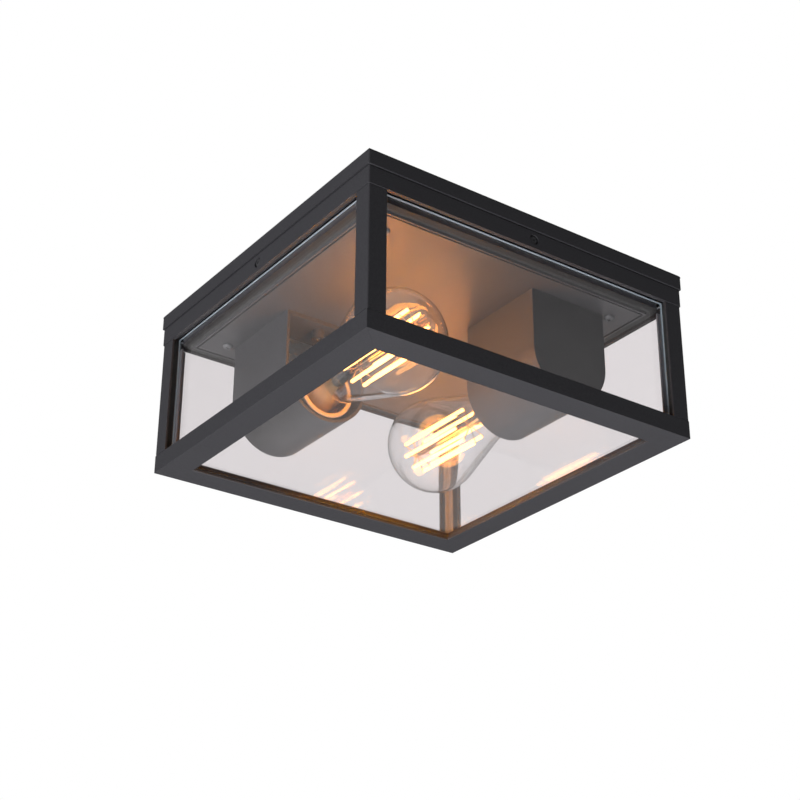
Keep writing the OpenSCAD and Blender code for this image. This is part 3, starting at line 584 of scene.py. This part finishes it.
# The cover plate's screws hang head down
low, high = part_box("plate_screws")
plate_head_r = 3.4 * MM
plate_screw = pan_head_screw("plate_screw_first", plate_head_r, 2.2 * MM, 1.5 * MM, high.z - low.z - 2.2 * MM,
                             dull_zinc)
plate_screw.rotation_euler[0] = pi
fixed_in_place(plate_screw)
heads = []
for i, (x, y) in enumerate(((-1, -1), (1, -1), (1, 1), (-1, 1))):
    seat = Vector((x * PLATE_SCREW_X, y * PLATE_SCREW_X, PLATE_BOTTOM)) * MM
    heads.append(copied(plate_screw, "plate_screw_copy", 0.3 + 1.1 * i, seat))
bpy.data.objects.remove(plate_screw)
stands_for(joined("plate_screws_cross", heads), "pan", "steel_zinc", "plate_screws")

# ---------- lamps: each is made for the left side and copied half a turn on ----------

holder_low, holder_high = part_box("lampholder_left")
holder_front = holder_low.y
lamp_x = (holder_low.x + holder_high.x) / 2
lamp_z = (holder_low.z + holder_high.z) / 2
glass_low, glass_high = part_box("bulb_glass_left")
tip_w = holder_front - glass_low.y
glass_end = holder_front - glass_high.y
cap_low, cap_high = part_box("bulb_cap_left")
cap_end = holder_front - cap_high.y


def seated_in_left_lamp(obj):
    """Moves a piece from the lamp's own frame, +Z towards the bulb's tip, to the left lamp."""
    obj.rotation_euler[0] = pi / 2
    obj.location = (lamp_x, holder_front, lamp_z)
    fixed_in_place(obj)
    return obj


def both_lamps(obj, name, bodies, node=None):
    """Seats the piece in the left lamp, copies it to the right one, and lets both ride."""
    seated_in_left_lamp(obj)
    obj.name = obj.data.name = name + "_left"
    other = copied(obj, name + "_right", pi)
    for piece, side in ((obj, "left"), (other, "right")):
        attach(piece, bodies[side])
        if node:
            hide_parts(node + "_" + side)


ON_PAN = {"left": "pan", "right": "pan"}
ON_BULB = {"left": "bulb_left", "right": "bulb_right"}

# Globe bulb, blown in one piece with its long neck
globe_r = 32.0 * MM
dome_len = 28.8 * MM
taper_len = 94.0 * MM
neck_r = 13.9 * MM
wall = 0.8 * MM
glass_len = tip_w - glass_end


def globe_outline(inset):
    """The glass from its tip to its cap, as (radius, w), set in by a wall."""
    r = globe_r - inset
    n = neck_r - inset
    d = taper_len - dome_len
    reach = (d * d + n * n) ** 0.5
    touch = atan2(n, d) + acos(r / reach)
    points = [(r * sin(radians(a)), dome_len - (dome_len - inset) * cos(radians(a))) for a in range(0, 91, 5)]
    points += [(r * sin(a), dome_len + r * cos(a))
               for a in (pi / 2 - (pi / 2 - touch) * k / 8 for k in range(1, 9))]
    start = points[-1]
    # The taper eases into the neck over its last quarter
    for k in range(1, 13):
        t = k / 12
        radius = start[0] + (n - start[0]) * t
        ease = max(0.0, t - 0.72) / 0.28
        points.append((radius + 0.35 * MM * ease * (1 - ease) * 4, start[1] + (taper_len - start[1]) * t))
    points.append((n, glass_len - 2 * MM))
    points.append((n, glass_len))
    return [(radius, tip_w - s) for radius, s in points]


outside = globe_outline(0.0)
inside = globe_outline(wall)
globe = turned("bulb_globe", outside + inside[::-1], blown_glass, 128)
both_lamps(globe, "bulb_globe", ON_BULB, "bulb_glass")

# Glass stem: a flare sealed to the neck, a long rod and a button at its end
rod_near = 34.1 * MM
rod_far = 93.1 * MM
stem = turned("bulb_stem", [
    (0.0, glass_end), (12.9 * MM, glass_end), (12.4 * MM, glass_end + 1.5 * MM), (9.5 * MM, glass_end + 4 * MM),
    (6.6 * MM, glass_end + 8 * MM), (5.0 * MM, glass_end + 13 * MM), (3.9 * MM, glass_end + 20 * MM),
    (3.4 * MM, glass_end + 26 * MM), (2.2 * MM, glass_end + 31 * MM), (1.3 * MM, rod_near - 4 * MM),
    (1.3 * MM, rod_far - 1 * MM), (1.9 * MM, rod_far + 0.2 * MM), (1.7 * MM, rod_far + 1.4 * MM),
    (0.9 * MM, rod_far + 2 * MM), (0.0, rod_far + 2 * MM)], stem_glass, 48)
stem.data.materials.append(press_flare)
FLARE_END = 14 * MM
for face in stem.data.polygons:
    face.material_index = int(face.center.z < FLARE_END)
both_lamps(stem, "bulb_stem", ON_BULB, "bulb_stem")

# Filament rods: a phosphor stick with a bare metal foot at each end, in a ring round the stem
rod_count = 8
rod_r = 1.15 * MM
ring_r = 11.8 * MM
stick = turned("filament_stick", [(0.0, rod_near + 1.2 * MM), (rod_r * 0.7, rod_near + 1.2 * MM),
                                  (rod_r, rod_near + 1.8 * MM), (rod_r, rod_far - 1.8 * MM),
                                  (rod_r * 0.7, rod_far - 1.2 * MM), (0.0, rod_far - 1.2 * MM)],
               lit_phosphor, 16)
stick.location = (ring_r, 0, 0)
fixed_in_place(stick)
sticks = [copied(stick, "filament_stick", (i + 0.5) * tau / rod_count) for i in range(rod_count)]
bpy.data.objects.remove(stick)
both_lamps(joined("filament_rods", sticks), "filament_rods", ON_BULB, "filaments")

# Support wires: from the stem out to each rod's foot, then along it
wires = []
for height, back in ((rod_near + 0.35 * MM, 1), (rod_far - 0.35 * MM, -1)):
    bpy.ops.mesh.primitive_cylinder_add(vertices=10, radius=0.32 * MM, depth=ring_r - 1.3 * MM,
                                        location=((ring_r + 1.3 * MM) / 2, 0, height), rotation=(0, pi / 2, 0))
    wire = bpy.context.object
    fixed_in_place(wire)
    chosen(wire, "FACE", lambda face: face.normal.x > 0.9)
    bpy.ops.mesh.extrude_region_move(TRANSFORM_OT_translate={"value": (0.3 * MM, 0, 0.25 * back * MM)})
    bpy.ops.transform.rotate(value=-back * pi / 4, orient_axis="Y",
                             center_override=(ring_r + 0.3 * MM, 0, height + 0.25 * back * MM))
    bpy.ops.mesh.extrude_region_move(TRANSFORM_OT_translate={"value": (-0.15 * MM, 0, 0.9 * back * MM)})
    done_editing()
    smooth(wire)
    named(wire, "support_wire", nickel_wire)
    wires += [copied(wire, "support_wire", (i + 0.5) * tau / rod_count) for i in range(rod_count)]
    bpy.data.objects.remove(wire)
both_lamps(joined("support_wires", wires), "support_wires", ON_BULB)

# Screw cap: a rolled round thread between a plain collar and the insulator
pitch = 3.62 * MM
crest = 13.0 * MM
root = 12.1 * MM
turns = 6
bpy.ops.mesh.primitive_plane_add(size=MM)
cap = bpy.context.object
editing(cap)
bpy.ops.mesh.merge(type="CENTER")
bpy.ops.transform.translate(value=(root, 0, 0))
previous = root
for k in range(1, 13):
    radius = root + (crest - root) * (0.5 - 0.5 * cos(tau * k / 12))
    bpy.ops.mesh.extrude_region_move(TRANSFORM_OT_translate={"value": (radius - previous, 0, pitch / 12)})
    previous = radius
done_editing()
add_modifier(cap, "SCREW", axis="Z", angle=tau, screw_offset=pitch, iterations=turns + 2, steps=48,
             render_steps=48, use_merge_vertices=True, merge_threshold=0.002 * MM, use_normal_calculate=True)
cap.location = (0, 0, cap_end - pitch)
fixed_in_place(cap)
cap_front = holder_front - cap_low.y - 2.5 * MM
for height, inner in ((cap_end + 0.8 * MM, True), (cap_front, False)):
    editing(cap)
    bpy.ops.mesh.bisect(plane_co=(0, 0, height), plane_no=(0, 0, 1), use_fill=True, clear_inner=inner,
                        clear_outer=not inner, threshold=0.001 * MM)
    bpy.ops.mesh.select_all(action="SELECT")
    bpy.ops.mesh.normals_make_consistent(inside=False)
    done_editing()
smooth(cap, 50)
named(cap, "cap_thread", drawn_brass)
collar = turned("cap_collar", [(0.0, cap_front), (13.6 * MM, cap_front), (14.25 * MM, cap_front + 0.5 * MM),
                               (14.4 * MM, cap_front + 1.4 * MM), (14.25 * MM, glass_end - 0.25 * MM),
                               (13.95 * MM, glass_end), (0.0, glass_end)], drawn_brass, 64)
shell_end = turned("cap_shell_end", [
    (0.0, cap_end), (11.0 * MM, cap_end), (12.0 * MM, cap_end + 0.4 * MM), (12.1 * MM, cap_end + 0.9 * MM),
    (0.0, cap_end + 0.9 * MM)], drawn_brass, 64)
whole_cap = joined("bulb_cap_threaded", [cap, collar, shell_end])
both_lamps(whole_cap, "bulb_cap_threaded", ON_BULB, "bulb_cap")

# Lampholder: glazed porcelain with rounded lips, a step behind its rim and a well for the screw sleeve
rim_r = (holder_high.x - holder_low.x) / 2
body_r = 18.0 * MM
well_r = 14.0 * MM
back_w = holder_front - holder_high.y
holder = turned("lampholder_glazed", [
    (2.1 * MM, back_w + 0.2 * MM), (2.3 * MM, back_w), (body_r - 0.8 * MM, back_w),
    *arc(body_r - 0.8 * MM, back_w + 0.8 * MM, 0.8 * MM, -80, 0, 4),
    (body_r, -14.2 * MM), *arc(rim_r - 0.9 * MM, -11.6 * MM, 0.9 * MM, -60, 0, 4),
    *arc(rim_r - 1.2 * MM, -1.2 * MM, 1.2 * MM, 0, 90, 6),
    *arc(16.6 * MM + 0.8 * MM, -0.8 * MM, 0.8 * MM, 90, 180, 5),
    (16.6 * MM, -10.1 * MM), (16.2 * MM, -10.5 * MM), (14.3 * MM, -10.5 * MM), (well_r, -10.8 * MM),
    (well_r, -37.5 * MM), (2.1 * MM, -37.5 * MM), (2.1 * MM, back_w + 0.2 * MM)], porcelain_painted_warm_shade, 96)
# The collar's inner wall takes the dark brown as painted shade
holder.data.materials.append(collar_painted_shade)
for face in holder.data.polygons:
    across = face.center.xy.length
    face.material_index = int(across < 17.0 * MM and -11 * MM < face.center.z < -1.0 * MM)
both_lamps(holder, "lampholder_glazed", ON_PAN, "lampholder")

# ---------- finishes of the CAD nodes that keep their shape ----------

FINISHES = {
    epdm_rubber: ["ceiling_gasket", "cable_grommet", "rail_seal", "bottom_seal",
                  *("pane_seals_" + side for side in SIDES)],
    zinc_plate: ["cup_screws", "holder_screws", "terminal_screws", "plate_screws",
                 *("holder_bracket_" + side for side in BOTH)],
    drawn_brass: ["earth_screw", *("holder_sleeve_" + side for side in BOTH),
                  *("holder_contact_" + side for side in BOTH), *("bulb_cap_" + side for side in BOTH)],
    cap_insulator: ["bulb_tip_" + side for side in BOTH],
    porcelain_painted_warm_shade: ["terminal_block", *("lampholder_" + side for side in BOTH)],
    brown_silicone: ["lamp_leads_" + side for side in BOTH],
    earth_silicone: ["earth_lead"],
    frame_coat: ["ceiling_pan", "top_rail", *("post_" + corner for corner in CORNERS),
                 *("bar_" + side for side in SIDES)],
    inner_coat: ["inner_skirt", "cover_plate", *("lamp_cup_" + side for side in BOTH)],
    float_glass: ["pane_bottom", *("pane_" + side for side in SIDES)],
    blown_glass: [*("bulb_glass_" + side for side in BOTH), *("bulb_stem_" + side for side in BOTH)],
    lit_phosphor: ["filaments_" + side for side in BOTH],
    black_oxide: ["side_screw_" + side for side in SIDES],
}
for finish, nodes in FINISHES.items():
    for node in nodes:
        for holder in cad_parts[node].material_slots:
            holder.material = finish

# ---------- stage, light and camera ----------

def seen_by_eye(tree, ray):
    """One where a ray comes straight from the camera or on through glass, else nought."""
    return add_node(tree, "Math", {0: ray.outputs["Is Camera Ray"], 1: ray.outputs["Is Transmission Ray"]},
                    operation="MAXIMUM").outputs[0]


# A plain pale floor, far enough below the lantern for the camera to look up at it. To the eye it glows a
# little, as a lit floor does.
FLOOR_Z, FLOOR_GLOW = -1.7, 0.62
bpy.ops.mesh.primitive_plane_add(size=14, location=(0, 0, FLOOR_Z))
floor = bpy.context.object
floor_paint, tree = new_material("pale_floor_paint")
paint = add_node(tree, "BsdfPrincipled", {"Base Color": linear("#E9E8E6"), "Roughness": 0.9})
seen = seen_by_eye(tree, add_node(tree, "LightPath"))
pale = add_node(tree, "Math", {0: seen, 1: FLOOR_GLOW}, operation="MULTIPLY")
glow = add_node(tree, "Emission", {"Color": linear("#F4F3F2"), "Strength": pale.outputs[0]})
both = add_node(tree, "AddShader", {0: paint.outputs[0], 1: glow.outputs[0]})
add_node(tree, "OutputMaterial", {"Surface": both.outputs[0]})
named(floor, "floor", floor_paint)

# The world is a white backdrop to the eye and through glass, half as bright behind a mirrored view, and a
# dim room to everything else
ROOM = 0.17
world = bpy.data.worlds.new("white_studio")
bpy.context.scene.world = world
world.use_nodes = True
tree = world.node_tree
tree.nodes.clear()
ray = add_node(tree, "LightPath")
direct = add_node(tree, "Math", {0: ray.outputs["Glossy Depth"], 1: 0.5}, operation="LESS_THAN")
share = add_node(tree, "Math", {0: direct.outputs[0], 1: 0.5, 2: 0.5}, operation="MULTIPLY_ADD")
backdrop = add_node(tree, "Math", {0: seen_by_eye(tree, ray), 1: share.outputs[0]}, operation="MULTIPLY")
strength = add_node(tree, "Math", {0: backdrop.outputs[0], 1: ROOM}, operation="MAXIMUM")
sky = add_node(tree, "Background", {"Color": [1, 1, 1, 1], "Strength": strength.outputs[0]})
add_node(tree, "OutputWorld", {"Surface": sky.outputs[0]})


MIDDLE = Vector((0, 0, -0.06))


def soft_box(name, place, size, power):
    """A square soft box, size in metres and power in watts, that looks at the lantern's middle."""
    light = bpy.data.lights.new(name, "AREA")
    light.size = size
    light.energy = power
    box = bpy.data.objects.new(name, light)
    box.location = place
    box.rotation_mode = "QUATERNION"
    box.rotation_quaternion = (MIDDLE - Vector(place)).to_track_quat("-Z", "Y")
    box.visible_camera = False
    box.visible_transmission = False
    bpy.context.scene.collection.objects.link(box)
    return box


soft_box("soft_box_left", (-1.7, -0.25, -1.0), 1.2, 68.0)
# The far box lifts the sides that face away, and is kept out of what the panes and bars mirror
soft_box("soft_box_far", (1.2, 1.4, 0.6), 1.4, 26.0).visible_glossy = False
soft_box("soft_box_under", (0.2, -0.3, -1.6), 1.2, 31.0)

# Each bulb lights its surroundings from three points along its filament, warm as a lamp at 2000 K
for side, sign in zip(BOTH, (1, -1)):
    for share in (0.42, 0.66, 0.90):
        w = rod_near + (rod_far - rod_near) * share
        light = bpy.data.lights.new("bulb_glow_" + side, "POINT")
        light.energy = 0.45
        light.color = (1.0, 0.34, 0.0)
        light.shadow_soft_size = 9 * MM
        glow = bpy.data.objects.new("bulb_glow_" + side, light)
        glow.location = (sign * lamp_x, sign * (holder_front - w), lamp_z)
        glow.visible_camera = False
        glow.visible_glossy = False
        glow.visible_transmission = False
        bpy.context.scene.collection.objects.link(glow)

# The photograph's camera: below the lantern, past its near corner, looking up
camera_data = bpy.data.cameras.new("camera")
camera_data.sensor_width = 36.0
camera_data.lens = 74.69
camera_data.clip_start = 0.01
camera_data.clip_end = 50.0
camera = bpy.data.objects.new("camera", camera_data)
camera.location = (-0.5575, -0.7643, -0.5449)
camera.rotation_mode = "QUATERNION"
camera.rotation_quaternion = (0.502726, 0.808504, -0.261043, -0.159516)
bpy.context.scene.collection.objects.link(camera)
bpy.context.scene.camera = camera

bpy.context.scene.view_settings.view_transform = "Standard"
